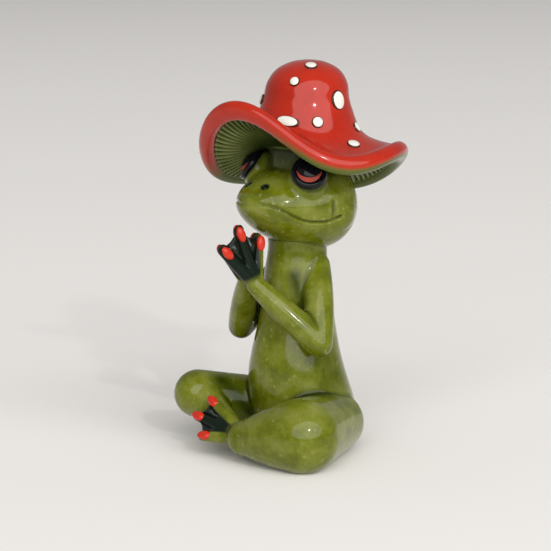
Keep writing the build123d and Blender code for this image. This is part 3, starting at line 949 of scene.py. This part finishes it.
    def on_shell(self, turn: float, radius: float) -> Vector:
        """A point on the shell's upper side at a turn and a radius before the pinch."""
        rings = [(0.0, self.crown_height, 0.0), *self.eased(self.upper_rings())]
        outer = next(k for k, ring in enumerate(rings) if ring[0] >= radius)
        inner = rings[max(outer - 1, 0)]
        gap = rings[outer][0] - inner[0]
        blend = (radius - inner[0]) / gap if gap > 0 else 0.0
        ring = tuple(a + (b - a) * blend for a, b in zip(inner, rings[outer]))
        return self.point(ring, turn)

    def spots(self) -> bpy.types.Object:
        """The raised white spots, each with a dark painted edge."""
        shape = bmesh.new()
        for degrees, share, spread, length in self.spot_places:
            size = (self.spot_radius * spread, self.spot_radius * length)
            self.spot(shape, math.radians(degrees), share * self.radius, size)
        return settle(shape, "hat_spot_domes", [SPOT_WHITE, SPOT_EDGE], ["hat_spots"])

    def spot_seat(self, turn: float, radius: float) -> Matrix:
        """The turn and place of a spot: its X around the hat, its Z out of the shell."""
        step = self.spot_step
        along = self.on_shell(turn, radius + step) - self.on_shell(turn, radius - step)
        spread = step / max(radius, step)
        around = (self.on_shell(turn + spread, radius) - self.on_shell(turn - spread, radius)).normalized()
        facing = along.cross(around).normalized()
        if facing.z < 0:
            facing = -facing
        axes = Matrix((around, facing.cross(around), facing)).transposed().to_4x4()
        return Matrix.Translation(self.on_shell(turn, radius)) @ axes

    def spot(self, shape: bmesh.types.BMesh, turn: float, radius: float, size: tuple[float, float]) -> None:
        """One oval spot: a low dome on the shell with a dark skirt.

        Args:
            shape: the bmesh that gets the dome.
            turn: its turn from the front.
            radius: its distance from the crown's axis.
            size: half its spread around the hat and half its length down the shell.
        """
        spread, length = size
        dome = bmesh.new()
        bmesh.ops.create_uvsphere(
            dome, u_segments=self.spot_segments, v_segments=self.spot_rings, radius=1.0
        )
        for face in dome.faces:
            away = face.calc_center_median().xy.length
            face.material_index = 1 if away > self.spot_white_share else 0
        rise = self.spot_proud * self.spot_fullness
        bmesh.ops.scale(dome, vec=(spread, length, rise), verts=dome.verts)
        dome.transform(self.spot_seat(turn, radius))
        mesh = bpy.data.meshes.new("spot_form")
        dome.to_mesh(mesh)
        dome.free()
        shape.from_mesh(mesh)
        bpy.data.meshes.remove(mesh)


@dataclass(frozen=True)
class Lamp:
    """An oval panel of light: its place and size in metres, its power in watts."""

    name: str
    place: Place
    width: float
    height: float
    power: float


@dataclass
class Studio:
    """The pale floor, the soft lamps and the camera at the photograph's angle."""

    azimuth: float = 47.0
    distance: float = 0.600
    height: float = 0.167
    aim: Vector = field(default_factory=lambda: Vector((-5.9 * MM, -6.3 * MM, 54.4 * MM)))
    lens: float = 127.3
    sensor_width: float = 36.0
    floor_size: float = 40.0
    floor_colour: Colour = (0.94, 0.91, 0.875)
    floor_roughness: float = 0.9
    sky_colour: Colour = (1.0, 1.0, 1.0)
    sky_strength: float = 0.34
    lamps: tuple[Lamp, ...] = (
        Lamp("window", (4.9, -2.6, 3.5), width=14.0, height=6.6, power=630.0),
        Lamp("spark", (0.95, -0.35, 0.62), width=0.04, height=0.06, power=2.0),
    )

    def floor(self) -> None:
        """A plain pale floor under the figurine."""
        shape = bmesh.new()
        bmesh.ops.create_grid(shape, x_segments=1, y_segments=1, size=self.floor_size / 2)
        mesh = bpy.data.meshes.new("floor")
        shape.to_mesh(mesh)
        shape.free()
        paint = bpy.data.materials.new("floor_paint")
        paint.use_nodes = True
        shader = paint.node_tree.nodes["Principled BSDF"]
        shader.inputs["Base Color"].default_value = opaque(self.floor_colour)
        shader.inputs["Roughness"].default_value = self.floor_roughness
        mesh.materials.append(paint)
        floor = bpy.data.objects.new("floor", mesh)
        bpy.context.scene.collection.objects.link(floor)

    def hang(self, lamp: Lamp) -> None:
        """Hangs a lamp, turned towards the figurine.

        Args:
            lamp: what it is and where it goes.
        """
        light = bpy.data.lights.new(lamp.name, "AREA")
        light.shape = "ELLIPSE"
        light.size = lamp.width
        light.size_y = lamp.height
        light.energy = lamp.power
        hung = bpy.data.objects.new(lamp.name, light)
        place = Vector(lamp.place)
        hung.location = place
        hung.rotation_mode = "QUATERNION"
        hung.rotation_quaternion = (self.aim - place).to_track_quat("-Z", "Y")
        bpy.context.scene.collection.objects.link(hung)

    def camera(self) -> None:
        """The camera at the photograph's angle."""
        lens = bpy.data.cameras.new("photo_camera")
        lens.lens = self.lens
        lens.sensor_width = self.sensor_width
        camera = bpy.data.objects.new("photo_camera", lens)
        turn = math.radians(self.azimuth)
        place = Vector((math.sin(turn) * self.distance, -math.cos(turn) * self.distance, self.height))
        camera.location = place
        camera.rotation_mode = "QUATERNION"
        camera.rotation_quaternion = (self.aim - place).to_track_quat("-Z", "Y")
        bpy.context.scene.collection.objects.link(camera)
        bpy.context.scene.camera = camera

    def build(self) -> None:
        """Sets the floor, the light and the camera."""
        scene = bpy.context.scene
        scene.view_settings.view_transform = "Standard"
        world = bpy.data.worlds.new("studio")
        world.use_nodes = True
        sky = world.node_tree.nodes["Background"]
        sky.inputs["Color"].default_value = opaque(self.sky_colour)
        sky.inputs["Strength"].default_value = self.sky_strength
        scene.world = world
        self.floor()
        for lamp in self.lamps:
            self.hang(lamp)
        self.camera()


@dataclass
class Body:
    """The torso and its limbs in one skin, with dark painted hands and foot and painted shade in its folds.

    A fold is given in millimetres, on the left where it is paired: its two ends, its reach and its depth,
    how dark its painted shade is.
    """

    broad_softening: int = 16
    left_wrist_forward: float = 22.5 * MM
    right_wrist_forward: float = 20.5 * MM
    # Painted shade in the gap between the right thigh and shin, under the jaw, beside the upper arms and on
    # the flanks
    thigh_fold: Fold = ((-18.0, -18.6, 20.0), (-10.0, -13.5, 11.0), 5.5, 0.95)
    neck_fold: Fold = ((0.0, -1.0, 69.0), (0.0, -1.0, 70.0), 16.0, 0.85)
    chest_fold: Fold = ((6.9, -10.0, 56.5), (11.6, -10.6, 45.0), 3.4, 0.85)
    flank_fold: Fold = ((14.5, -4.0, 33.0), (16.0, -1.0, 23.0), 9.0, 0.45)

    def hollow(self, fold: Fold, side: Side) -> Hollow:
        """A fold in metres, as it is on the left or mirrored to the right."""
        start, end, reach, depth = fold
        mirror = Vector((side.value, 1.0, 1.0)) * MM
        return (Vector(start) * mirror, Vector(end) * mirror, reach * MM, depth)

    def hollows(self) -> list[Hollow]:
        """The single folds as given, then the paired ones on each side."""
        made = [self.hollow(fold, Side.LEFT) for fold in (self.thigh_fold, self.neck_fold)]
        for side in Side:
            made += [self.hollow(fold, side) for fold in (self.chest_fold, self.flank_fold)]
        return made

    def build(self) -> bpy.types.Object:
        """Draws the body's skin.

        Returns:
            The skin's object.
        """
        limbs = [f"{side.word}_{limb}" for side in Side for limb in ("arm", "leg", "hand")]
        hands = [f"{side.word}_hand" for side in Side]
        hand_fans = [
            hand_fan(Side.LEFT, self.left_wrist_forward),
            hand_fan(Side.RIGHT, self.right_wrist_forward),
        ]
        return Skin(
            "body_skin",
            ["torso", *limbs, "left_foot"],
            OLIVE,
            broad_softening=self.broad_softening,
            fine_nodes=[*hands, "left_foot"],
            fans=[*hand_fans, foot_fan()],
            hollows=self.hollows(),
        ).build()


@dataclass
class Head:
    """The head's skin, dark at the nostrils and round the eyes, with painted shade on the post under the hat
    and in its creases.

    The left nostril's and the post's places are given in millimetres.
    """

    voxel: float = 0.35 * MM
    broad_softening: int = 160
    nostril: Place = (3.7, -19.3, 84.5)
    nostril_reach: float = 1.7 * MM
    # The post under the hat is darkened with painted shade out to its reach
    post: Place = (0.0, 1.0, 96.0)
    post_reach: float = 16.0 * MM
    # Painted shade in the mouth groove and the head's other creases
    creases: tuple[tuple[int, float], ...] = ((24, 0.55 * MM), (60, 0.90 * MM))

    def dark_places(self) -> list[tuple[Vector, float]]:
        """The nostrils and the post, each with its reach."""
        out, front, rise = self.nostril
        nostrils = [Vector((side.value * out, front, rise)) * MM for side in Side]
        made = [(place, self.nostril_reach) for place in nostrils]
        made.append((Vector(self.post) * MM, self.post_reach))
        return made

    def build(self) -> bpy.types.Object:
        """Draws the head's skin.

        Returns:
            The skin's object.
        """
        eyeballs = [f"{side.word}_eyeball" for side in Side]
        return Skin(
            "head_skin",
            ["head"],
            OLIVE,
            voxel=self.voxel,
            broad_softening=self.broad_softening,
            broad_nodes=eyeballs,
            edged_nodes=eyeballs,
            dark_places=self.dark_places(),
            creases=self.creases,
        ).build()


def main() -> None:
    """Builds the figurine piece by piece, then the studio round it."""
    logging.basicConfig(level=logging.INFO)
    Body().build()
    Head().build()
    for side in Side:
        word = side.word
        Inlay(f"{word}_hand_membrane", [f"{word}_hand_web"], WEB_DARK).build()
        Inlay(f"{word}_finger_dots", [f"{word}_finger_pads"], PAD_RED).build()
        Eye(side).build()
    Inlay("left_foot_membrane", ["left_foot_web"], WEB_DARK).build()
    Inlay("left_toe_dots", ["left_toe_pads"], PAD_RED).build()
    Hat().build()
    Studio().build()


if __name__ == "__main__":
    main()
